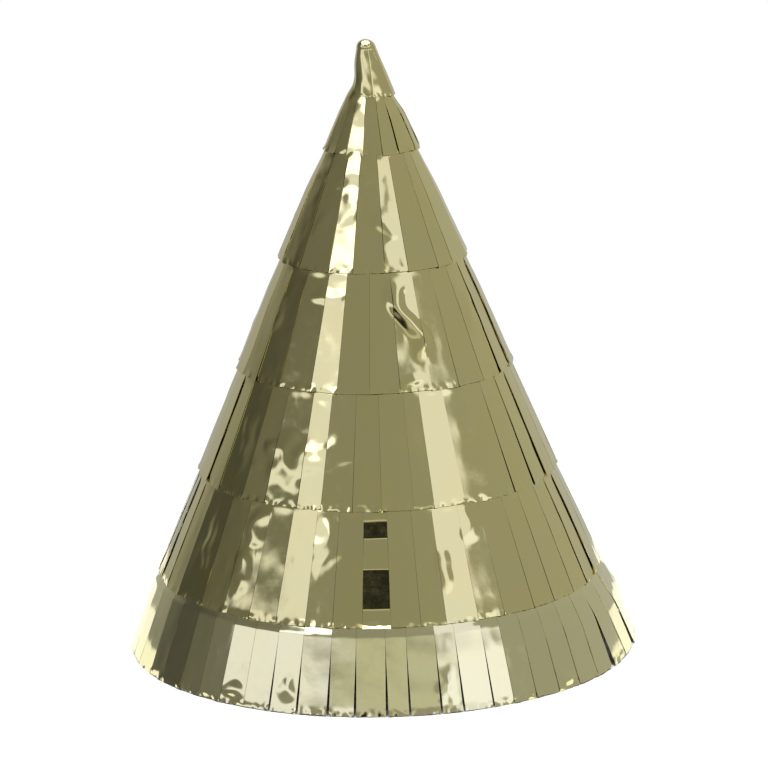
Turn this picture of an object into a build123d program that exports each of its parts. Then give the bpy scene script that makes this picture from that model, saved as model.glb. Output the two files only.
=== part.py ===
from build123d import *

import os
from math import atan, cos, pi, sin, tan

# Cone party hat covered with tiers of slit gold foil.
#
# A rolled card cone carries six foil fringe bands, laid like shingles, and a plain foil cap
# over its tip. The lowest band hangs past the card, so the hat stands on its fringe tips.
# Z is the hat's axis, the fringe tips stand at Z = 0, and the back seam faces +Y.

# Outline of the whole hat, in millimetres
BRIM_RADIUS = 65.0  # outside, at the tips of the lowest fringe
PEAK_HEIGHT = 157.5  # where the straight flanks of the fringe would meet
FLANK = atan(BRIM_RADIUS / PEAK_HEIGHT)  # angle between the flank and the axis

# Thicknesses, measured square to the flank
CARD = 0.45
FOIL = 0.15
TAPE = 0.10
FRINGE_LIFT = 1.0  # gap between the card and a fringe's lower edge
CARD_PEAK = PEAK_HEIGHT - (FRINGE_LIFT + FOIL) / sin(FLANK)

# Card cone
CARD_RIM = 12.5  # height of the card's lower edge
CARD_TIP = 152.5  # the rolled card leaves a small hole here
SEAM_GAP = 0.3
FLAP_WIDTH = 12.0
FLAP_TOP = 108.0
FLAP_JOGGLE = 0.5  # length of the bend that takes the flap under the far edge
SEAM_TAPE = 0.2
SEAM_TAPE_WIDTH = 8.0
FLAP_DEPTH = 2 * CARD + SEAM_TAPE  # of the flap's inner face, below the card's outer one

# Foil cap
CAP_EDGE = 143.0
CAP_DOME_RADIUS = 2.5
CAP_DOME_HEIGHT = 154.3  # centre of the rounded tip
GLUE_DEPTH = 1.5  # how far the glue dab runs down round the card's tip

# Fringe bands, from the top one down: lower edge, and how far the band starts above the
# lower edge of the piece that covers it
BANDS = ((129.0, 5.0), (101.5, 12.0), (73.5, 12.0), (46.5, 12.0), (20.0, 12.0), (0.0, 12.0))
# The strips are cut by eye and uneven. For each band: its slits across the front, in degrees
# from straight ahead towards +X, and how many equal strips close the ring behind them
SLITS = (
    ((-75, -52, -32, -10, 14, 37, 67), 10),
    ((-72, -50.5, -28, -12.5, 7, 21.5, 43, 56.5, 81), 11),
    ((-58.5, -43, -27.5, -16, -2.5, 10, 23.5, 36, 50, 63), 18),
    ((-61, -47.5, -38, -26, -18, -8, 1, 11, 17.5, 28, 37.5, 48, 58.5), 24),
    (
        (-64, -52, -43.5, -35, -27, -19, -12, -4.5, 2.5, 10, 16.5, 25, 32.5, 42, 49.5, 58.5, 66.5),
        28,
    ),
    (
        (-73, -65, -59, -51.5, -45, -38.5, -32, -25.5, -19, -12, -6, 1)
        + (6, 13, 18, 25, 30, 36, 42.5, 49, 56, 62.5, 69.5, 77),
        32,
    ),
)
TAPE_SETBACK = 0.5  # tape below the band's upper edge
TAPE_SHARE = 0.35  # of the covered depth
SLIT_WIDTH = 0.25
SLIT_COVER = 1.0  # the slits start this far under the piece above

# Punched holes for the chin elastic
ELASTIC_HOLE_RADIUS = 1.5
ELASTIC_HOLE_HEIGHT = 24.5
PUNCH_DEPTH = 6.0

REACH = 2 * BRIM_RADIUS  # longer than any cut has to be
CUT_START = 2.0  # radial cuts start this far from the axis, so that they stay apart


def wall(height, offset):
    """(radius, height) of a point that lies offset outside the card's outer face."""
    return (CARD_PEAK - height) * tan(FLANK) + offset / cos(FLANK), height


def shell_profile(stations, thickness):
    """Closed outline of a skin whose inner face follows (height, offset) stations."""
    inner = [wall(height, offset) for height, offset in stations]
    outer = [wall(height, offset + thickness) for height, offset in reversed(stations)]
    Polyline(*inner, *outer, close=True)


def slit_angles(front, strips_behind):
    """Directions of a band's slits in the XY plane, the one nearest the back seam first."""
    gap = front[0] + 360 - front[-1]
    behind = [front[-1] + gap * k / strips_behind for k in range(1, strips_behind)]
    return [270 + slit for slit in sorted((*front, *behind), key=lambda slit: abs(slit - 180))]


def radial_cuts(angles):
    """Thin rectangles that run outward at the given angles."""
    starts = [Location((0, 0, 0), (0, 0, angle)) * Location((CUT_START, 0, 0)) for angle in angles]
    with Locations(*starts):
        Rectangle(REACH, SLIT_WIDTH, align=(Align.MIN, Align.CENTER))


def write(part, label):
    """Names a finished piece and writes its STEP file."""
    part.label = label
    export_step(part, f"parts/{label}.step")


os.makedirs("parts", exist_ok=True)

# --- Card cone: one rolled sheet, with a glue flap under its back seam -----------------

with BuildPart() as card_cone:
    with BuildSketch(Plane.XZ):
        with BuildLine():
            shell_profile([(CARD_TIP, -CARD), (CARD_RIM, -CARD)], CARD)
        make_face()
    revolve(axis=Axis.Z)
    with Locations((0, 0, 0)):
        Box(
            SEAM_GAP,
            REACH,
            REACH * 2,
            align=(Align.CENTER, Align.MIN, Align.CENTER),
            mode=Mode.SUBTRACT,
        )

with BuildPart() as card_flap:
    with BuildSketch(Plane.XZ):
        with BuildLine():
            shell_profile([(FLAP_TOP, -FLAP_DEPTH), (CARD_RIM, -FLAP_DEPTH)], CARD)
        make_face()
    revolve(axis=Axis.Z)
    with Locations((-SEAM_GAP / 2 - FLAP_JOGGLE, 0, 0)):
        Box(
            FLAP_WIDTH,
            REACH,
            REACH * 2,
            align=(Align.MIN, Align.MIN, Align.CENTER),
            mode=Mode.INTERSECT,
        )

with BuildPart() as flap_joggle:
    with BuildSketch(Plane.XZ):
        with BuildLine():
            shell_profile([(FLAP_TOP, -FLAP_DEPTH), (CARD_RIM, -FLAP_DEPTH)], FLAP_DEPTH)
        make_face()
    revolve(axis=Axis.Z)
    with Locations((-SEAM_GAP / 2 - FLAP_JOGGLE, 0, 0)):
        Box(
            FLAP_JOGGLE,
            REACH,
            REACH * 2,
            align=(Align.MIN, Align.MIN, Align.CENTER),
            mode=Mode.INTERSECT,
        )

HOLE_PLANES = [
    Plane(
        origin=(side * wall(ELASTIC_HOLE_HEIGHT, 0)[0], 0, ELASTIC_HOLE_HEIGHT),
        z_dir=(side * cos(FLANK), 0, sin(FLANK)),
    )
    for side in (-1, 1)
]

with BuildPart() as card:
    add(card_cone.part)
    add(card_flap.part)
    add(flap_joggle.part)
    with Locations(*HOLE_PLANES):
        Hole(ELASTIC_HOLE_RADIUS, depth=PUNCH_DEPTH)
write(card.part, "card_cone")

# --- Double-sided tape between the flap and the wall it is stuck to ---------------------

with BuildPart() as seam_tape:
    with BuildSketch(Plane.XZ):
        with BuildLine():
            shell_profile([(FLAP_TOP, CARD - FLAP_DEPTH), (CARD_RIM, CARD - FLAP_DEPTH)], SEAM_TAPE)
        make_face()
    revolve(axis=Axis.Z)
    with Locations((SEAM_GAP, 0, 0)):
        Box(
            SEAM_TAPE_WIDTH,
            REACH,
            REACH * 2,
            align=(Align.MIN, Align.MIN, Align.CENTER),
            mode=Mode.INTERSECT,
        )
write(seam_tape.part, "seam_tape")

# --- Fringe bands and the tape rings that hold them -------------------------------------

cover_edge = CAP_EDGE
for number, ((edge, lap), (front, strips_behind)) in enumerate(zip(BANDS, SLITS), start=1):
    band_top = cover_edge + lap
    tape_top = band_top - TAPE_SETBACK
    tape_bottom = tape_top - TAPE_SHARE * lap

    with BuildPart() as band_tape:
        with BuildSketch(Plane.XZ):
            with BuildLine():
                shell_profile([(tape_top, 0), (tape_bottom, 0)], TAPE)
            make_face()
        revolve(axis=Axis.Z)
    write(band_tape.part, f"band_tape_{number}")

    angles = slit_angles(front, strips_behind)
    slit_top = cover_edge + SLIT_COVER
    with BuildPart() as band:
        with BuildSketch(Plane.XZ):
            with BuildLine():
                shell_profile([(band_top, TAPE), (tape_bottom, TAPE), (edge, FRINGE_LIFT)], FOIL)
            make_face()
        revolve(axis=Axis.Z)
        with BuildSketch(Plane.XY.offset(slit_top)):
            radial_cuts(angles[1:])
        extrude(amount=-REACH, mode=Mode.SUBTRACT)
        # The first slit runs through the whole band: it is the seam
        with BuildSketch(Plane.XY.offset(band_top)):
            radial_cuts(angles[:1])
        extrude(amount=-REACH, mode=Mode.SUBTRACT)
        if number == len(BANDS):
            with Locations(*HOLE_PLANES):
                Hole(ELASTIC_HOLE_RADIUS, depth=PUNCH_DEPTH)
    write(band.part, f"fringe_band_{number}")
    cover_edge = edge

# --- Foil cap over the tip, and the glue dab that holds it ------------------------------


def cap_outline(shrink):
    """Half outline of the cap's face, shrink inside its outer one, from the tip down."""
    dome = CAP_DOME_RADIUS - shrink
    foot_radius = wall(CAP_EDGE, FRINGE_LIFT + FOIL - shrink)[0]
    run = (foot_radius - dome, CAP_DOME_HEIGHT - CAP_EDGE)
    lean = atan(run[0] / run[1])
    shoulder = (dome * cos(lean), CAP_DOME_HEIGHT + dome * sin(lean))
    crown = (0, CAP_DOME_HEIGHT + dome)
    rise = (lean + pi / 2) / 2
    middle = (dome * cos(rise), CAP_DOME_HEIGHT + dome * sin(rise))
    return crown, middle, shoulder, (foot_radius, CAP_EDGE)


with BuildPart() as foil_cap:
    with BuildSketch(Plane.XZ):
        with BuildLine():
            crown, middle, shoulder, foot = cap_outline(0)
            inner_crown, inner_middle, inner_shoulder, inner_foot = cap_outline(FOIL)
            ThreePointArc(crown, middle, shoulder)
            Line(shoulder, foot)
            Line(foot, inner_foot)
            Line(inner_foot, inner_shoulder)
            ThreePointArc(inner_shoulder, inner_middle, inner_crown)
            Line(inner_crown, crown)
        make_face()
    revolve(axis=Axis.Z)
write(foil_cap.part, "foil_tip_cap")

with BuildPart() as tip_glue:
    with BuildSketch(Plane.XZ):
        with BuildLine():
            glue_crown, glue_middle, glue_shoulder, _ = cap_outline(FOIL)
            glue_foot = CARD_TIP - GLUE_DEPTH
            ThreePointArc(glue_crown, glue_middle, glue_shoulder)
            Polyline(
                glue_shoulder,
                wall(glue_foot, CARD),
                wall(glue_foot, 0),
                wall(CARD_TIP, 0),
                (0, CARD_TIP),
                glue_crown,
            )
        make_face()
    revolve(axis=Axis.Z)
write(tip_glue.part, "tip_glue_dab")
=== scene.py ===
"""New year party hat: tiers of slit gold foil over a card cone, under a pinched foil cap."""

import random
from math import atan, atan2, cos, degrees, exp, pi, radians, sin, tan

import bpy
from mathutils import Matrix, Vector, noise


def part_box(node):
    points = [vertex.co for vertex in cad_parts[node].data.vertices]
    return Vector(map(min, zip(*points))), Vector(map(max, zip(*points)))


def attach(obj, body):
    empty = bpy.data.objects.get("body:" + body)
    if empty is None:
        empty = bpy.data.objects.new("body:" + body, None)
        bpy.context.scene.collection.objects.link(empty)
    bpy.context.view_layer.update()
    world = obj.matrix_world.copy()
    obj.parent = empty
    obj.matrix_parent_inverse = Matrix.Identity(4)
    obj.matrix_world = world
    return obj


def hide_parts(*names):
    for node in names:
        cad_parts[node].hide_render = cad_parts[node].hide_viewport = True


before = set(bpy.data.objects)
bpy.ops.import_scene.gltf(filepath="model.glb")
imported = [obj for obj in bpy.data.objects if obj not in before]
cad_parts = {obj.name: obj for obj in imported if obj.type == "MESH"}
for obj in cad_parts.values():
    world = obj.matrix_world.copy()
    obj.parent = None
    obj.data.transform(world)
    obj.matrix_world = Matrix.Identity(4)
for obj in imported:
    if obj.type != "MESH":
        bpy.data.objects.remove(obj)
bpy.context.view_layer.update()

# ----------------------------------------------------------------------------------------
# Sizes in millimetres, as in the frame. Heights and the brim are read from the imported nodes.
# ----------------------------------------------------------------------------------------
MM = 0.001
BRIM_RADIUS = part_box("fringe_band_6")[1].x / MM
PEAK_HEIGHT = 157.5  # where the straight flanks of the fringe would meet
FLANK = atan(BRIM_RADIUS / PEAK_HEIGHT)
CAP_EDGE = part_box("foil_tip_cap")[0].z / MM
CAP_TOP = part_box("foil_tip_cap")[1].z / MM
LIFT = 1.0  # gap between the card and a fringe's lower edge
TAPE = 0.1
FOIL = 0.1
FRAME_FOIL = 0.15  # the foil's thickness in the frame
CARD_PEAK = PEAK_HEIGHT - (LIFT + FRAME_FOIL) / sin(FLANK)
SLIT_COVER = 1.0  # the slits start this far under the piece above
SLIT_GAP = 0.02  # of a slit that lies closed
CELL = 0.9  # mesh step on the foil
FINE_CELL = 0.45  # and across the front
LAST_BAND = 6  # the bands are numbered from the top

# Strips across the front of each band: (slit on the strip's left, turn, crumple). Slits are
# in degrees from straight ahead towards +X, and are the frame's own. A strip is turned so
# many degrees to the right of square, and crumple is the height of its small dents. The last
# entry only closes the last strip. Then come the equal strips that close the ring behind.
STRIPS = (
    (
        ((-75, 0, 0.05), (-52, 0, 0.03), (-32, 0, 0.05), (-10, 0, 0.02), (14, 4, 0.03))
        + ((37, 0, 0.02), (67, 0, 0)),
        10,
    ),
    (
        ((-72, 0, 0.06), (-50.5, 0, 0.03), (-28, 0, 0.06), (-12.5, 0, 0.01), (7, 2, 0.08))
        + ((21.5, 0, 0.01), (43, 0, 0.01), (56.5, 0, 0.02), (81, 0, 0)),
        11,
    ),
    (
        ((-58.5, -1, 0.05), (-43, 0, 0.03), (-27.5, 0, 0.04), (-16, 0, 0.01), (-2.5, 0, 0.01))
        + ((10, -1, 0.06), (23.5, -2, 0.02), (36, 0, 0.01), (50, 0, 0.02), (63, 0, 0)),
        18,
    ),
    (
        ((-61, 0, 0.04), (-47.5, 0, 0.03), (-38, 0, 0.05), (-26, 0, 0.05), (-18, 0, 0.05))
        + ((-8, 0, 0.01), (1, 0, 0.01), (11, -1.5, 0.02), (17.5, 0, 0.03), (28, -5, 0.02))
        + ((37.5, 0, 0.02), (48, 0, 0.01), (58.5, 0, 0)),
        24,
    ),
    (
        ((-64, 0, 0.05), (-52, 0, 0.04), (-43.5, 0, 0.09), (-35, 0, 0.06), (-27, 0, 0.03))
        + ((-19, 0, 0.05), (-12, 0, 0.01), (-4.5, 0, 0.01), (2.5, 0, 0.01), (10, -1.5, 0.01))
        + ((16.5, 0, 0.06), (25, -1.5, 0.03), (32.5, 0, 0.01), (42, 0, 0.01), (49.5, 0, 0.01))
        + ((58.5, 0, 0.02), (66.5, 0, 0)),
        28,
    ),
    (
        ((-73, 0, 0.02), (-65, 0, 0.02), (-59, 0, 0.02), (-51.5, 0, 0.02), (-45, 0, 0.02))
        + ((-38.5, 0, 0.02), (-32, 0, 0.02), (-25.5, 0, 0.02), (-19, 0, 0.02), (-12, 0, 0.02))
        + ((-6, 0, 0.02), (1, 0, 0.02), (6, 0, 0.02), (13, 0, 0.03), (18, 0, 0.03))
        + ((25, 0, 0.02), (30, 0, 0.02), (36, 0, 0.02), (42.5, 0, 0.02), (49, 0, 0.02))
        + ((56, 0, 0.02), (62.5, 0, 0.02), (69.5, 0, 0.02), (77, 0, 0)),
        32,
    ),
)


def clamp(x):
    return min(max(x, 0), 1)


def smooth(x):
    """0 below 0, 1 above 1, and an even S between."""
    x = clamp(x)
    return x * x * (3 - 2 * x)


def cone_radius(height, offset):
    """Distance from the axis of a point offset outside the card's outer face."""
    return (CARD_PEAK - height) * tan(FLANK) + offset / cos(FLANK)


def place(angle, radius, height):
    """A point at an angle from straight ahead (-Y) towards +X, in metres."""
    a = radians(angle)
    return Vector((radius * sin(a), -radius * cos(a), height)) * MM


def add_object(name, verts, faces, material):
    """Adds a smooth-shaded mesh of the faces and only the points they use."""
    used = sorted({k for face in faces for k in face})
    renumbered = {k: n for n, k in enumerate(used)}
    mesh = bpy.data.meshes.new(name)
    mesh.from_pydata([verts[k] for k in used], [], [[renumbered[k] for k in f] for f in faces])
    mesh.update()
    mesh.polygons.foreach_set("use_smooth", [True] * len(mesh.polygons))
    mesh.materials.append(material)
    piece = bpy.data.objects.new(name, mesh)
    bpy.context.scene.collection.objects.link(piece)
    return piece


CUT_EDGE = radians(50)  # an edge bent by more than this is shaded as a cut one


def thicken(piece):
    """Gives a foil surface its thickness, inward, with crisp cut edges."""
    skin = piece.modifiers.new("thickness", "SOLIDIFY")
    skin.thickness = FOIL * MM
    skin.offset = -1
    bpy.context.view_layer.update()
    shaped = piece.evaluated_get(bpy.context.evaluated_depsgraph_get())
    mesh = bpy.data.meshes.new_from_object(shaped)
    piece.modifiers.clear()
    piece.data = mesh
    mesh.set_sharp_from_angle(angle=CUT_EDGE)


# ----------------------------------------------------------------------------------------
# Materials
# ----------------------------------------------------------------------------------------
class Nodes:
    """Small helper that adds and links the nodes of one material or world."""

    def __init__(self, tree):
        self.tree = tree
        self.tree.nodes.clear()

    def add(self, kind, inputs=None, **settings):
        node = self.tree.nodes.new(kind)
        for key, value in settings.items():
            setattr(node, key, value)
        for key, value in (inputs or {}).items():
            if isinstance(value, bpy.types.NodeSocket):
                self.tree.links.new(value, node.inputs[key])
            else:
                node.inputs[key].default_value = value
        return node

    def math(self, operation, *values, clamp=False):
        inputs = dict(enumerate(values))
        return self.add("ShaderNodeMath", inputs, operation=operation, use_clamp=clamp).outputs[0]

    def ramp(self, factor, stops, interpolation="LINEAR"):
        """A colour ramp through (position, colour or grey level) stops."""
        node = self.add("ShaderNodeValToRGB", {"Fac": factor})
        ramp = node.color_ramp
        ramp.interpolation = interpolation
        while len(ramp.elements) > 1:
            ramp.elements.remove(ramp.elements[-1])
        for index, (position, color) in enumerate(stops):
            element = ramp.elements[0] if index == 0 else ramp.elements.new(position)
            element.position = position
            element.color = (*color, 1) if isinstance(color, tuple) else (color, color, color, 1)
        return node.outputs[0]

    def grain(self, scale, detail, roughness=0.5):
        """Noise that is fixed to the object. The scale is in cells to the metre."""
        inputs = {"Vector": self.add("ShaderNodeTexCoord").outputs["Object"]}
        inputs.update({"Scale": scale, "Detail": detail, "Roughness": roughness})
        return self.add("ShaderNodeTexNoise", inputs).outputs[0]

    def bump(self, height, strength, distance):
        inputs = {"Height": height, "Strength": strength, "Distance": distance}
        return self.add("ShaderNodeBump", inputs).outputs[0]

    def surface(self, inputs):
        """Ends a material in one principled shader."""
        shader = self.add("ShaderNodeBsdfPrincipled", inputs)
        self.add("ShaderNodeOutputMaterial", {"Surface": shader.outputs[0]})


# Depths of the bump in each material
FOIL_PEEL = 0.01
CARD_FIBRE = 0.06
CLOUD_RELIEF = 0.05


def new_material(name):
    material = bpy.data.materials.new(name)
    material.use_nodes = True
    return material, Nodes(material.node_tree)


def foil_material(name, color, tint):
    """Metallised film: mirror gold, with a faint orange-peel, rub marks and a drifting tint."""
    material, nodes = new_material(name)
    colour = nodes.ramp(nodes.grain(90.0, 2.0), ((0.3, color), (0.7, tint)))
    rough = nodes.ramp(nodes.grain(700.0, 5.0, 0.7), ((0.35, 0.05), (0.75, 0.12)))
    peel = nodes.bump(nodes.grain(260.0, 2.0), 1.0, FOIL_PEEL * MM)
    nodes.surface({"Base Color": colour, "Roughness": rough, "Metallic": 1.0, "Normal": peel})
    return material


def card_material():
    """Uncoated white card with paper fibre."""
    material, nodes = new_material("white_card")
    fibre = nodes.bump(nodes.grain(1400.0, 6.0, 0.65), 0.4, CARD_FIBRE * MM)
    stops = ((0.3, (0.78, 0.76, 0.71)), (0.7, (0.86, 0.85, 0.81)))
    colour = nodes.ramp(nodes.grain(60.0, 3.0), stops)
    nodes.surface({"Base Color": colour, "Roughness": 0.75, "Normal": fibre})
    return material


def cloudy_material(name, low, high, roughness, scale):
    """Tape or glue: a pale film with cloudy patches."""
    material, nodes = new_material(name)
    cloud = nodes.grain(scale, 4.0)
    colour = nodes.ramp(cloud, ((0.35, low), (0.65, high)))
    relief = nodes.bump(cloud, 0.3, CLOUD_RELIEF * MM)
    nodes.surface({"Base Color": colour, "Roughness": roughness, "Normal": relief})
    return material


GOLD = foil_material("gold_foil", (0.79, 0.71, 0.31), (0.77, 0.71, 0.33))
PALE_GOLD = foil_material("pale_gold_foil", (0.82, 0.77, 0.40), (0.81, 0.77, 0.43))
CARD = card_material()
TAPE_FILM = cloudy_material("tape_film", (0.72, 0.70, 0.62), (0.82, 0.80, 0.73), 0.25, 500.0)
GLUE = cloudy_material("glue", (0.62, 0.58, 0.44), (0.74, 0.70, 0.58), 0.4, 800.0)

# ----------------------------------------------------------------------------------------
# Fringe bands
# ----------------------------------------------------------------------------------------
# How far each band stands off the card, at the edge that covers it and at its own lower edge
STAND_OFF = ((0.9, 1.1), (1.1, 1.8), (1.5, 1.6), (1.2, 1.4), (1.0, 1.4), (1.2, 0.85))
HEADER_CURVE = 1.5  # power of a header's curve outward, from its tape to the first of those
# Further out at the sides, (left, right)
SIDE_FLARE = ((0.3, 0.8), (0.6, 0.4), (0.3, 0.3), (0.0, 0.1), (0.1, 0.3), (0.2, 1.3))
FLARE_SHARE = 2.5  # the flare is full at one part in this of the way down
FOLD = 0.45  # how far the last band stands out where it bends over the rim of the card
FOLD_HEIGHT = 18.6
BACK_DENTS = 4  # for each band, times its number from the top
BACK_DENT_MARGINS = (2, 3)  # kept clear of the band's lower edge and of the edge above
BACK_DENT_SIZES = ((1.5, 2.8), (2, 5), (0.15, 0.45))  # half width, half height, depth
BEHIND_TURN = 4.0  # strips behind the hat turn by up to this, in degrees
BEHIND_CRUMPLE = (0.01, 0.06)
HOLE_HEIGHT = 24.5  # of the elastic holes, punched at +X and -X through the card too
HOLE_RADIUS = 1.8
FRONT = 95  # strips up to this far round are modelled more finely
SIDE = 90  # and those further round than this are bent more

# Slits that gape at the lower end: {slit: width of the gap}
OPEN_SLITS = (
    {14: 0.12, 37: 0.1, -75: 0.1},
    {56.5: 0.08, 43: 0.05, -50.5: 0.1},
    {10: 0.1, 36: 0.1},
    {48: 0.4, 58.5: 0.5, -61: 0.3},
    {49.5: 0.25, 58.5: 0.2, 66.5: 0.6, -64: 0.2},
    {-25.5: 0.5, -19: 0.6, -12: 0.6, -6: 0.6, 1: 0.6, 6: 0.5, 13: 0.5, 18: 0.5, 25: 0.4, 69.5: 0.4},
)
CLOSED_SLIT = 0.08  # the others gape by up to this

# On the right of the last band the strips are swept round at the tips. These are the first
# swept slit, the last one in front and the angle where the sweep has died away, in degrees
SPLAY_FIRST, SPLAY_FRONT, SPLAY_END = 62.5, 77, 150
# Degrees of sweep: the left edge at the first slit, the strips in front, the first one behind
SPLAY_AT_FIRST, SPLAY_IN_FRONT, SPLAY_BEHIND = 1.6, 2.0, 4.0

# The larger dents of each band: (angle, height, half width, half height, depth outward)
DENTS = (
    ((-20, 139, 2.5, 1.5, 0.2),),
    ((-30, 125, 9, 2, 0.3), (-20, 117, 2, 2.5, 0.2), (-40, 113, 2, 4, 0.2), (12, 112, 3, 4, 0.35)),
    ((-58, 89, 1.6, 3, 0.3), (-26, 96, 3, 1.5, 0.2), (16, 76, 2, 1.2, 0.3), (57, 88, 2.5, 6, 0.3)),
    ((-32, 58, 6, 4, 0.5), (-15, 60, 3, 3, 0.2), (-54, 60, 2, 5, 0.3)),
    (
        ((-57, 34, 1.5, 5, 0.35), (-39, 42, 2, 3, 0.35), (-41, 32, 2, 4, 0.35))
        + ((-15, 38, 2.2, 5, 0.3), (18, 34, 1.5, 4, 0.3), (28, 42, 2, 3, 0.3))
    ),
    ((-35, 4, 2, 1.5, 0.3), (-22, 5, 2, 2, 0.3), (15, 6, 2, 3, 0.3), (45, 3, 2, 1.5, 0.3)),
)
DENT_REACH = 1.7  # of a dent's foot, in its half widths
DENT_LIMIT = 3  # half widths and half heights beyond which a dent isn't worked out
DENT_RAGGED = 0.9  # how far its outline wanders, in half widths
DENT_RAGGED_CELL = 4.5
DENT_BLUNT = 0.8  # power that blunts its peak

# The strip straight ahead on band 5 hangs steeper in two places, where it mirrors the camera:
# (height, how far the strip is pushed out there)
STEEP_STRIP = (5, -4.5)
STEEP = ((58.5, 0), (46, 0.6), (40, -0.3), (34, 0.9), (24, -0.55), (20, -0.35))

# A slanting ridge, whose left side mirrors the camera: angle, height and depth at its upper
# and lower ends, and the widths of its two sides
RIDGE_BAND = 3
RIDGE = ((12.5, 97, 0.85), (23, 83, 0.6))
RIDGE_SIDES = (3.6, 3.0)
RIDGE_BOW = 1.1  # sideways swing of its line
RIDGE_WANDER = 0.8  # and the noise on top of that
RIDGE_WANDER_CELL = 4
RIDGE_PAST = 0.3  # it runs on past both ends by this share of its length
RIDGE_FADE = 0.45  # and fades over this share

# Creases along the lower edges of the strips
CREASE_REACH = 2.2
CREASE_CELL = 1.6
CREASE = 0.3

# Small dents all over a strip
CRUMPLE_CELL = (3.0, 4.5)  # across and up
CRUMPLE_DENT = 1.4  # height of the sharp ones, either way
CRUMPLE_BULGE = 0.6  # and what is added outward where the noise is over CRUMPLE_FLAT
CRUMPLE_FLAT = 0.25

# Tiny beads pressed up beside the lower end of each slit. Their place and size across are
# shares of the half width, and those up are in millimetres above the edge
BEAD_ACROSS, BEAD_WIDTH = 0.9, 0.08
BEAD_UP, BEAD_HEIGHT = 0.7, 0.45

# Ranges that each strip's own character is drawn from
CROWN_RANGE = (0.05, 0.25)  # 0 is flat across, 1 is round like the cone
TWIST_RANGE = (-1.0, 1.0)  # degrees from top to bottom
CURL_RANGE = (-0.12, 0.12)  # of the lower end, outward
UNEVEN_RANGE = (0, 0.4)  # by which the cut end falls short of the band's edge
BEAD_RANGE = (0, 0.16)
WAVE_DEPTH = (0.005, 0.025)
WAVE_LENGTH = (9, 20)
DRIFT = 0.03  # slow waviness on top of the waves
FREE_BELOW = 3  # a strip is held by its header, and bends freely this far below the slit's top


def band_edges(number):
    """Heights of a band's upper edge, the edge that covers it, and its lower edge."""
    low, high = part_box(f"fringe_band_{number}")
    cover = CAP_EDGE if number == 1 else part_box(f"fringe_band_{number - 1}")[0].z / MM
    return high.z / MM, cover, low.z / MM


def strips_of(number):
    """(left slit, right slit, turn, crumple) of each strip, once round."""
    front, behind = STRIPS[number - 1]
    rng = random.Random(100 + number)
    strips = [(a, b, turn, crumple) for (a, turn, crumple), (b, _, _) in zip(front, front[1:])]
    first, last = front[0][0], front[-1][0]
    width = (first + 360 - last) / behind
    for k in range(behind):
        left = last + k * width
        turn = rng.uniform(-BEHIND_TURN, BEHIND_TURN)
        strips.append((left, left + width, turn, rng.uniform(*BEHIND_CRUMPLE)))
    return strips


def stand_off(number, angle, height, edges):
    """How far a band stands off the card at an angle and height."""
    top, cover, edge = edges
    at_cover, at_edge = STAND_OFF[number - 1]
    if height > cover:
        return TAPE + (at_cover - TAPE) * clamp((top - height) / (top - cover)) ** HEADER_CURVE
    fall = (cover - height) / (cover - edge)
    sideways = sin(radians(angle))
    flare = SIDE_FLARE[number - 1][1 if sideways > 0 else 0] * sideways**2
    offset = at_cover + (at_edge - at_cover) * fall + flare * smooth(fall * FLARE_SHARE)
    if number == LAST_BAND:
        above = (cover - height) / (cover - FOLD_HEIGHT)
        offset += FOLD * (above if height > FOLD_HEIGHT else height / FOLD_HEIGHT)
    return offset


def steep(number, left, height):
    """How far the steep strip is pushed out at a height."""
    if (number, left) != STEEP_STRIP:
        return 0
    for (high, out), (low, further) in zip(STEEP, STEEP[1:]):
        if low <= height <= high:
            return out + (further - out) * (high - height) / (high - low)
    return 0


def ridge(number, angle, height, radius):
    """How far the ridge stands out at a place."""
    if number != RIDGE_BAND:
        return 0
    (start, high, deep), (end, low, shallow) = RIDGE
    down = (high - height) / (high - low)
    x = radians(angle - start - (end - start) * down) * radius
    x += RIDGE_BOW * sin(2 * pi * down) + RIDGE_WANDER * noise.noise(
        Vector((x / RIDGE_WANDER_CELL, height / RIDGE_WANDER_CELL, 3))
    )
    from_top = smooth((down + RIDGE_PAST) / RIDGE_FADE)
    fade = from_top * smooth((1 + RIDGE_PAST - down) / RIDGE_FADE)
    return fade * (deep + (shallow - deep) * down) * smooth(1 - abs(x) / RIDGE_SIDES[x > 0])


def splay(number, angle, side):
    """Degrees that a slit's edge is swept round at the tips; side is -1 for a left edge."""
    if number != LAST_BAND or not SPLAY_FIRST <= angle <= SPLAY_END:
        return 0
    if angle == SPLAY_FIRST:
        return SPLAY_AT_FIRST if side < 0 else 0
    if angle < SPLAY_FRONT or (angle == SPLAY_FRONT and side > 0):
        return SPLAY_IN_FRONT
    return SPLAY_BEHIND * (SPLAY_END - angle) / (SPLAY_END - SPLAY_FRONT)


def dents_of(number):
    """A band's dents: those seen in front, and seeded ones strewn over the back."""
    _, cover, edge = band_edges(number)
    lower, upper = BACK_DENT_MARGINS
    rng = random.Random(200 + number)
    behind = []
    for _ in range(BACK_DENTS * number):
        place_at = (rng.uniform(FRONT, 360 - FRONT), rng.uniform(edge + lower, cover - upper))
        behind.append((*place_at, *(rng.uniform(*sizes) for sizes in BACK_DENT_SIZES)))
    return [*DENTS[number - 1], *behind]


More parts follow.
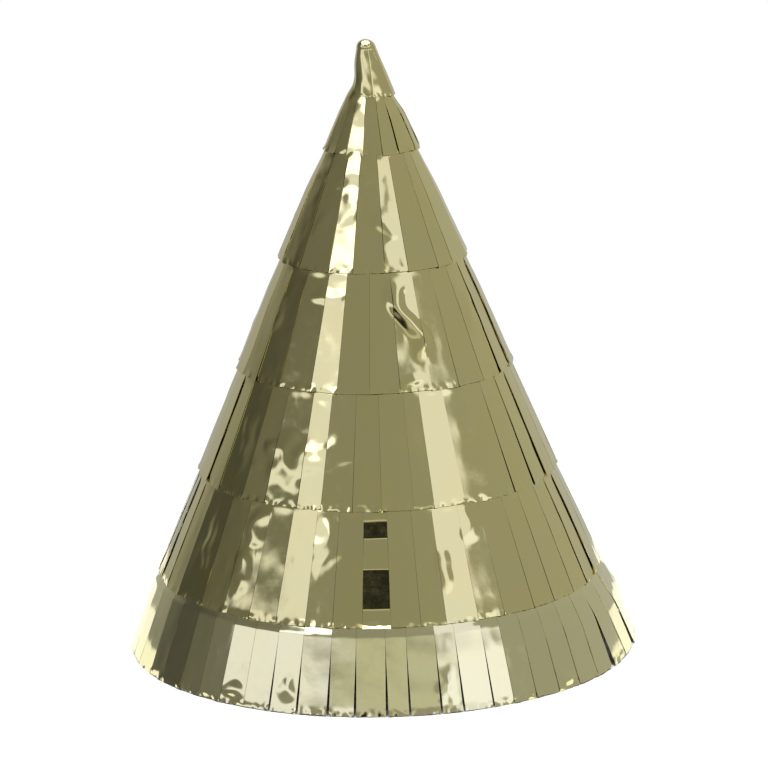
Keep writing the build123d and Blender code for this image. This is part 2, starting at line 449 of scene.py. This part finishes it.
def dented(dents, angle, height, radius):
    """How far the single dents push the foil out at a place. Each is a ragged-edged cone."""
    push = 0
    for at, level, wide, tall, depth in dents:
        x = radians(angle - at) * radius
        y = height - level
        if abs(x) < DENT_LIMIT * wide and abs(y) < DENT_LIMIT * tall:
            # Blender seeds noise_vector from the clock, so the outlines differ from run to run
            ragged = noise.noise_vector(Vector((x / DENT_RAGGED_CELL, y / DENT_RAGGED_CELL, at)))
            x, y = x + DENT_RAGGED * ragged.x * wide, y + DENT_RAGGED * ragged.y * tall
            away = ((x / wide) ** 2 + (y / tall) ** 2) ** 0.5
            push += depth * smooth(1 - away / DENT_REACH) ** DENT_BLUNT
    return push


def crumpled(across, height, seed):
    """Small sharp-edged dents with flat stretches between them."""
    value = noise.noise(Vector((across / CRUMPLE_CELL[0], height / CRUMPLE_CELL[1], 0)) + 2 * seed)
    sharp = CRUMPLE_DENT * value * abs(value) ** 0.5
    return sharp + CRUMPLE_BULGE * max(0, abs(value) - CRUMPLE_FLAT)


def bead(s, above_edge, sizes):
    """Height of the beads at s across a strip (-1 to 1) and so far above its edge."""
    across = ((abs(s) - BEAD_ACROSS) / BEAD_WIDTH) ** 2
    return sizes[0 if s < 0 else 1] * exp(-across - ((above_edge - BEAD_UP) / BEAD_HEIGHT) ** 2)


def over_hole(point):
    """True where the last band is punched for the chin elastic, on the left and the right."""
    return Vector((point.y, point.z - HOLE_HEIGHT * MM)).length < HOLE_RADIUS * MM


class Strip:
    """One strip of a band, with its own seeded bends."""

    def __init__(self, number, edges, dents, rng, left, right, turn, crumple):
        self.number, self.edges, self.dents = number, edges, dents
        self.left, self.turn, self.crumple = left, turn, crumple
        self.middle, self.half = (left + right) / 2, (right - left) / 2
        self.fine = abs(self.middle) < FRONT
        self.crown = rng.uniform(*CROWN_RANGE)
        self.twist = rng.uniform(*TWIST_RANGE)
        self.curl = rng.uniform(*CURL_RANGE)
        self.uneven = (rng.uniform(*UNEVEN_RANGE), rng.uniform(*UNEVEN_RANGE))
        self.beads = (rng.uniform(*BEAD_RANGE), rng.uniform(*BEAD_RANGE))
        self.wave = (rng.uniform(*WAVE_DEPTH), rng.uniform(*WAVE_LENGTH), rng.uniform(0, 2 * pi))
        self.seed = Vector((rng.uniform(0, 99), rng.uniform(0, 99), number))
        if not -SIDE < self.middle < SIDE:
            self.curl, self.crown = 2 * self.curl, 2 * self.crown
        gaping = OPEN_SLITS[number - 1]
        self.gaps = [gaping.get(slit, rng.uniform(0, CLOSED_SLIT)) / 2 for slit in (left, right)]
        self.sweeps = (splay(number, left, -1), splay(number, right, 1))

    def counts(self):
        """Rows and columns of its mesh."""
        top, _, edge = self.edges
        # Rows are in whole steps of the coarse ones, so that neighbours share their vertices
        rows = round((top - edge) / CELL) * (2 if self.fine else 1)
        width = radians(2 * self.half) * cone_radius(edge, LIFT)
        return rows, max(6, round(width / (FINE_CELL if self.fine else CELL)))

    def bends(self, s, across, height, radius):
        """How far waves, dents, ridge, beads and edge creases push the strip out at a place."""
        depth, length, start = self.wave
        above_edge = height - self.edges[2]
        push = depth * sin(2 * pi * height / length + start + 0.7 * s)
        push += DRIFT * noise.noise(Vector((s * 0.8, height / 9, 0)) + self.seed)
        push += self.crumple * crumpled(across, height, self.seed)
        push += bead(s, above_edge, self.beads)
        near_edge = max(0, 1 - above_edge / CREASE_REACH) ** 2
        at = Vector((across / CREASE_CELL, height / CREASE_CELL, 0))
        push += near_edge * (self.curl + CREASE * noise.noise(at + self.seed))
        push += dented(self.dents, self.middle + self.half * s, height, radius)
        push += ridge(self.number, self.middle + self.half * s, height, radius)
        return push

    def row(self, height, columns):
        """Points across the strip at a height."""
        top, cover, edge = self.edges
        slit_top = cover + SLIT_COVER
        fall = (cover - height) / (cover - edge)
        free = smooth((slit_top - height) / FREE_BELOW)
        hang = max(fall, 0)
        if self.number == LAST_BAND:
            hang = smooth((FOLD_HEIGHT - height) / FOLD_HEIGHT)
        radius = cone_radius(height, stand_off(self.number, self.middle, height, self.edges))
        radius += free * steep(self.number, self.left, height)
        sweep_left, sweep_right = self.sweeps[0] * hang, self.sweeps[1] * hang
        centre = self.middle + (sweep_left + sweep_right) / 2
        spread = self.half + (sweep_right - sweep_left) / 2
        reach = radius * sin(radians(spread))
        points = []
        for i in range(columns + 1):
            s = 2 * i / columns - 1
            ragged = self.uneven[0] * (1 - s) / 2 + self.uneven[1] * (1 + s) / 2
            gap = 0
            if height < slit_top - 0.01:
                gap = SLIT_GAP + self.gaps[0 if s < 0 else 1] * hang
            narrowed = 1 - gap / reach
            angle = radians(spread * s * narrowed)
            # Flat across, but for a little crown, once it is clear of the header
            flat = Vector((reach * s * narrowed, radius * cos(radians(spread))))
            curved = Vector((radius * sin(angle), radius * cos(angle)))
            point = flat.lerp(curved, 1 - free * (1 - self.crown))
            push = -tan(radians(free * (self.turn + self.twist * (fall - 0.5)))) * point.x
            point.y += push + free * self.bends(s, point.x, height, radius)
            around = centre + degrees(atan2(point.x, point.y))
            points.append(place(around, point.length, height + ragged * max(fall, 0) ** 2))
        return points


def build_band(number):
    edges = band_edges(number)
    dents = dents_of(number)
    rng = random.Random(number)
    top, _, edge = edges
    verts, faces, welded = [], [], {}

    def vertex(point):
        """Index of a point, the same one wherever strips meet."""
        key = tuple(round(c * 1e7) for c in point)
        if key not in welded:
            welded[key] = len(verts)
            verts.append(point)
        return welded[key]

    for left, right, turn, crumple in strips_of(number):
        strip = Strip(number, edges, dents, rng, left, right, turn, crumple)
        rows, columns = strip.counts()
        grid = []
        for j in range(rows + 1):
            height = top + (edge - top) * j / rows
            grid.append([vertex(point) for point in strip.row(height, columns)])
        for j in range(rows):
            for i in range(columns):
                face = (grid[j][i], grid[j + 1][i], grid[j + 1][i + 1], grid[j][i + 1])
                if number < LAST_BAND or not over_hole(sum((verts[k] for k in face), Vector()) / 4):
                    faces.append(face)
    pale = number == LAST_BAND
    piece = add_object(f"foil_fringe_{number}", verts, faces, PALE_GOLD if pale else GOLD)
    thicken(piece)
    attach(piece, "root")
    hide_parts(f"fringe_band_{number}")


for number in range(1, LAST_BAND + 1):
    build_band(number)

# ----------------------------------------------------------------------------------------
# Pinched foil cap
# ----------------------------------------------------------------------------------------
CAP_ROWS = 70
CAP_COLUMNS = 180
CAP_CROWDING = 1.5  # power that crowds the rows towards the tip
CAP_OVERHANG = 0.2  # its edge hangs this far below the frame's
# The cap is folded into broad flats. Their corners, in degrees, at the edge and at the tip
CAP_CORNERS = (
    ((-95, -100), (-56, -58), (-26, -30), (2, 10), (62, 58))
    + ((100, 100), (145, 145), (190, 190), (228, 226))
)
CORNER_SOFTNESS = 5.0  # degrees over which a flat turns into the next
FLATNESS = 0.85
FLATS_END = 2.5  # the flats fade out over this far below the top
CAP_TIP_RADIUS = 2.5
CAP_TAPER = 0.84  # share of the height where the cap is down to that radius
CAP_DOME = 2.3  # height of the rounded tip
# It leans: the shift of its centre to the right at the edge, and how much less at the top
CAP_SHIFT, CAP_LEAN = 0.6, 1.5
# The left flank is pinched in above the edge: how far, and its middle and spread in height
PINCH, PINCH_RISE, PINCH_SPREAD = 0.75, 0.28, 0.22
# Depths of the bumps all over, along the edge and on the tip
CAP_BUMPS, EDGE_BUMPS, TIP_BUMPS = 0.05, 0.18, 0.12
CAP_POINT_RADIUS = 0.02  # at the very top, where one small face closes it


def flat_radius(angle, drop):
    """Radius of the folded outline relative to its round one. Drop is 0 at the tip, 1 at the edge."""
    corners = sorted(tip + (foot - tip) * drop for foot, tip in CAP_CORNERS)
    corners.append(corners[0] + 360)
    while angle < corners[0]:
        angle += 360
    for a, b in zip(corners, corners[1:]):
        if a <= angle <= b:
            return cos(radians((b - a) / 2)) / cos(radians(angle - (a + b) / 2))
    return 1


def cap_bumps(angle, height):
    """Small unevenness of the cap's radius."""
    a = radians(angle)
    low = max(0, 1 - (height - CAP_EDGE) / 1.0)
    high = smooth((height - (CAP_TOP - CAP_DOME)) / 1.5)
    bumps = CAP_BUMPS * noise.noise(Vector((cos(a) * 3, sin(a) * 3, height / 3)))
    bumps += low * EDGE_BUMPS * noise.noise(Vector((angle / 8, 3.1, height)))
    return bumps + high * TIP_BUMPS * noise.noise(Vector((angle / 30, height * 1.2, 7)))


def build_cap():
    verts, faces = [], []
    foot = cone_radius(CAP_EDGE, LIFT + FRAME_FOIL)
    dome_start = CAP_TOP - CAP_DOME
    start = CAP_EDGE - CAP_OVERHANG
    for j in range(CAP_ROWS + 1):
        height = start + (CAP_TOP - start) * (1 - (1 - j / CAP_ROWS) ** CAP_CROWDING)
        rise = clamp((height - CAP_EDGE) / (CAP_TOP - CAP_EDGE))
        pinch = PINCH * exp(-(((rise - PINCH_RISE) / PINCH_SPREAD) ** 2))
        base = foot + (CAP_TIP_RADIUS - foot) * min(rise / CAP_TAPER, 1)
        if height > dome_start:
            up = min((height - dome_start) / (CAP_TOP - dome_start), 1)
            base *= max(1 - up * up, 0) ** 0.5
        fold = FLATNESS * smooth((CAP_TOP - height) / FLATS_END)
        for i in range(CAP_COLUMNS):
            angle = 360 * i / CAP_COLUMNS - 180
            near = (angle + CORNER_SOFTNESS * k / 2 for k in (-1, 0, 1))
            flat = sum(flat_radius(at, 1 - rise) for at in near) / 3
            leftward = max(0, -sin(radians(angle)))
            radius = base * (1 + fold * (flat - 1)) - pinch * leftward * leftward
            radius += cap_bumps(angle, height)
            point = place(angle, max(radius, CAP_POINT_RADIUS), height)
            point.x += (CAP_SHIFT - CAP_LEAN * rise) * MM
            verts.append(point)
    for j in range(CAP_ROWS):
        for i in range(CAP_COLUMNS):
            k = (i + 1) % CAP_COLUMNS
            a, b = j * CAP_COLUMNS, (j + 1) * CAP_COLUMNS
            faces.append((a + i, a + k, b + k, b + i))
    last = CAP_ROWS * CAP_COLUMNS
    faces.append(tuple(last + i for i in range(CAP_COLUMNS)))
    piece = add_object("foil_cap", verts, faces, GOLD)
    thicken(piece)
    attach(piece, "root")
    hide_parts("foil_tip_cap", "tip_glue_dab")


build_cap()

# ----------------------------------------------------------------------------------------
# Pieces kept from the frame
# ----------------------------------------------------------------------------------------
for name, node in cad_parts.items():
    if name == "card_cone":
        finish = CARD
    elif name == "tip_glue_dab":
        finish = GLUE
    elif "tape" in name:
        finish = TAPE_FILM
    else:
        continue
    node.data.materials.clear()
    node.data.materials.append(finish)

# ----------------------------------------------------------------------------------------
# Floor, studio light and camera
# ----------------------------------------------------------------------------------------
FLOOR_RADIUS = 160.0
FLOOR_SIDES = 96


def build_floor():
    """A plain white table."""
    material, nodes = new_material("studio_floor")
    stops = ((0.3, (0.86, 0.86, 0.86)), (0.7, (0.88, 0.88, 0.88)))
    colour = nodes.ramp(nodes.grain(40.0, 3.0), stops)
    nodes.surface({"Base Color": colour, "Roughness": 0.9, "Specular IOR Level": 0.0})
    rim = [place(360 * k / FLOOR_SIDES, FLOOR_RADIUS, 0) for k in range(FLOOR_SIDES)]
    floor = add_object("studio_floor", rim, [tuple(range(FLOOR_SIDES))], material)


# The studio round the hat: plain walls, a dim corner on the left, and a few soft lamps.
# Directions are degrees from straight ahead towards +X, and degrees up.
WALLS = (
    ((-180, 0.50), (-150, 0.42), (-115, 0.08), (-85, 0.18))
    + ((-30, 0.30), (70, 0.38), (180, 0.52))
)
COOL = (0.98, 1.0, 1.35)
NEUTRAL = (1.0, 1.0, 1.0)
# (direction, rise, half width, half height, how far its ends droop, brightness, tint)
LAMPS = (
    (-45, 46, 9, 26, 0, 0.95, COOL),  # left softbox
    (-43, 46, 8, 14.5, 0, 2.2, COOL),  # its bulb, glowing through
    (45, 46, 12, 26, 0, 0.95, COOL),  # right softbox
    (8, 20, 28, 4, 1, 0.6, NEUTRAL),  # pale front wall over the camera
    (-47, 18.5, 34, 4, 3, 1.0, COOL),  # low strip light on its left
    (46, 18.5, 19, 4, 3, 1.15, COOL),  # low strip light on its right
    (0, 13.5, 6, 5, 0, 0.02, NEUTRAL),  # the camera itself, black
)
LAMP_EDGE = 3.0  # degrees over which a lamp fades out
CEILING_RISE = 63  # the bright ceiling starts this far up
CEILING = 4.2  # its brightness, on top of the walls


def build_world():
    """Lights the hat with the studio, and shows the camera plain white instead."""
    world = bpy.data.worlds.new("studio")
    world.use_nodes = True
    bpy.context.scene.world = world
    nodes = Nodes(world.node_tree)
    direction = nodes.add("ShaderNodeTexCoord").outputs["Generated"]
    parts = nodes.add("ShaderNodeSeparateXYZ", {"Vector": direction}).outputs
    ahead = nodes.math("MULTIPLY", parts["Y"], -1.0)
    around = nodes.math("MULTIPLY", nodes.math("ARCTAN2", parts["X"], ahead), 180 / pi)
    rise = nodes.math("MULTIPLY", nodes.math("ARCSINE", parts["Z"]), 180 / pi)

    def within(value, centre, half):
        """1 inside a span of directions, 0 outside, with a soft edge."""
        away = nodes.math("ABSOLUTE", nodes.math("SUBTRACT", value, float(centre)))
        left_over = nodes.math("SUBTRACT", half + LAMP_EDGE / 2, away)
        return nodes.math("MULTIPLY", left_over, 1 / LAMP_EDGE, clamp=True)

    turn_share = nodes.math("MULTIPLY_ADD", around, 1 / 360, 0.5, clamp=True)
    stops = [((at + 180) / 360, level) for at, level in WALLS]
    colour = nodes.ramp(turn_share, stops, "EASE")
    for at, up, half_width, half_height, droop, level, tint in LAMPS:
        off = nodes.math("MULTIPLY", nodes.math("SUBTRACT", around, float(at)), 1 / half_width)
        lifted = nodes.math("MULTIPLY_ADD", nodes.math("MULTIPLY", off, off), float(droop), rise)
        across = within(around, at, half_width)
        inside = nodes.math("MULTIPLY", across, within(lifted, up, half_height))
        lamp = (*(level * c for c in tint), 1)
        mixer = nodes.add("ShaderNodeMixRGB", {"Fac": inside, "Color1": colour, "Color2": lamp})
        colour = mixer.outputs[0]
    walls = nodes.add("ShaderNodeBackground", {"Color": colour, "Strength": 1.0})
    overhead = nodes.math("MULTIPLY", within(rise, 90, 90 - CEILING_RISE), CEILING)
    roof = nodes.add("ShaderNodeBackground", {"Color": (1, 1, 1, 1), "Strength": overhead})
    lit = nodes.add("ShaderNodeAddShader", {0: walls.outputs[0], 1: roof.outputs[0]})
    seen = nodes.add("ShaderNodeLightPath").outputs["Is Camera Ray"]
    white = nodes.add("ShaderNodeBackground", {"Color": (1, 1, 1, 1), "Strength": 1.0})
    mixed = nodes.add("ShaderNodeMixShader", {0: seen, 1: lit.outputs[0], 2: white.outputs[0]})
    nodes.add("ShaderNodeOutputWorld", {"Surface": mixed.outputs[0]})


CAMERA_DISTANCE = 900.0
CAMERA_RISE = radians(13.24)
CAMERA_ROLL = radians(-1.19)
CAMERA_LENS = 164.7
CAMERA_SHIFT = (0.0115, -0.0359)  # the hat isn't quite in the middle of the picture
CAMERA_RANGE = (0.05, 50)  # metres
TARGET_HEIGHT = 75.0


def build_camera():
    data = bpy.data.cameras.new("camera")
    data.sensor_width = 36
    data.lens = CAMERA_LENS
    data.shift_x, data.shift_y = CAMERA_SHIFT
    data.clip_start, data.clip_end = CAMERA_RANGE
    camera = bpy.data.objects.new("camera", data)
    bpy.context.scene.collection.objects.link(camera)
    target = Vector((0, 0, TARGET_HEIGHT * MM))
    away = Vector((0, -cos(CAMERA_RISE), sin(CAMERA_RISE))) * CAMERA_DISTANCE * MM
    look = (-away).to_track_quat("-Z", "Y").to_matrix().to_4x4()
    roll = Matrix.Rotation(CAMERA_ROLL, 4, "Z")
    camera.matrix_world = Matrix.Translation(target + away) @ look @ roll
    bpy.context.scene.camera = camera


build_floor()
build_world()
build_camera()
bpy.context.scene.view_settings.view_transform = "Standard"
